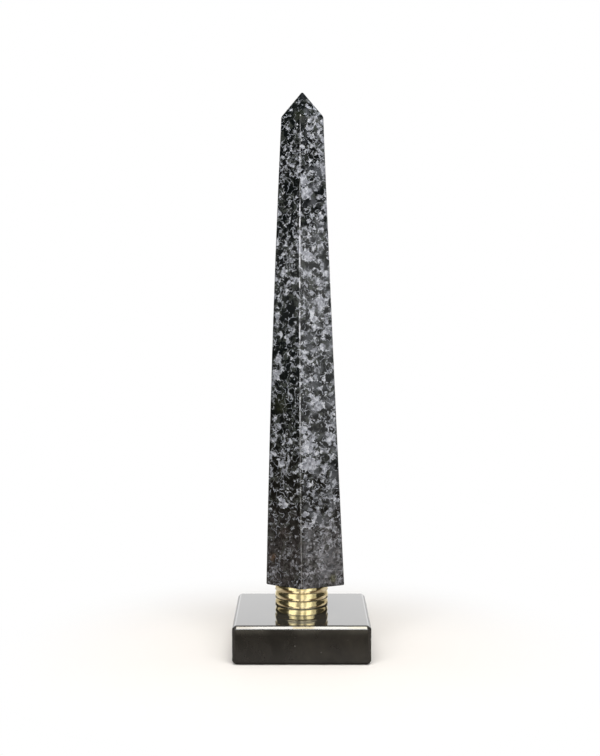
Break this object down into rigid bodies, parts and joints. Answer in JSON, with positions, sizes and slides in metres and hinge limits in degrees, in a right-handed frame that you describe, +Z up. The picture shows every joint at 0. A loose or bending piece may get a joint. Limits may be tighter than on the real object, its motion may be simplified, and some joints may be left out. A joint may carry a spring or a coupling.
{
  "type": "tabletop stone obelisk",
  "caption": "Small stone obelisk ornament: a tapering six-sided polished shaft with a pyramid point, on a ringed brass neck and a square black stone block.",
  "frame": {"origin": "centre of the block's underside, where the ornament stands", "axes": "+Z up along the shaft, front face of the block towards -Y, +X to the right of someone facing that face"},
  "size_m": [0.1, 0.1, 0.4122],
  "materials": {
    "base_stone": "polished",
    "neck_brass": "polished",
    "shaft_stone": "polished",
    "fixing_steel": "satin"
  },
  "bodies": {
    "root": {"base_block": "base_stone", "brass_neck": "neck_brass", "shaft": "shaft_stone", "tie_rod": "fixing_steel", "rod_washer": "fixing_steel", "rod_nut": "fixing_steel"}
  },
  "joints": []
}
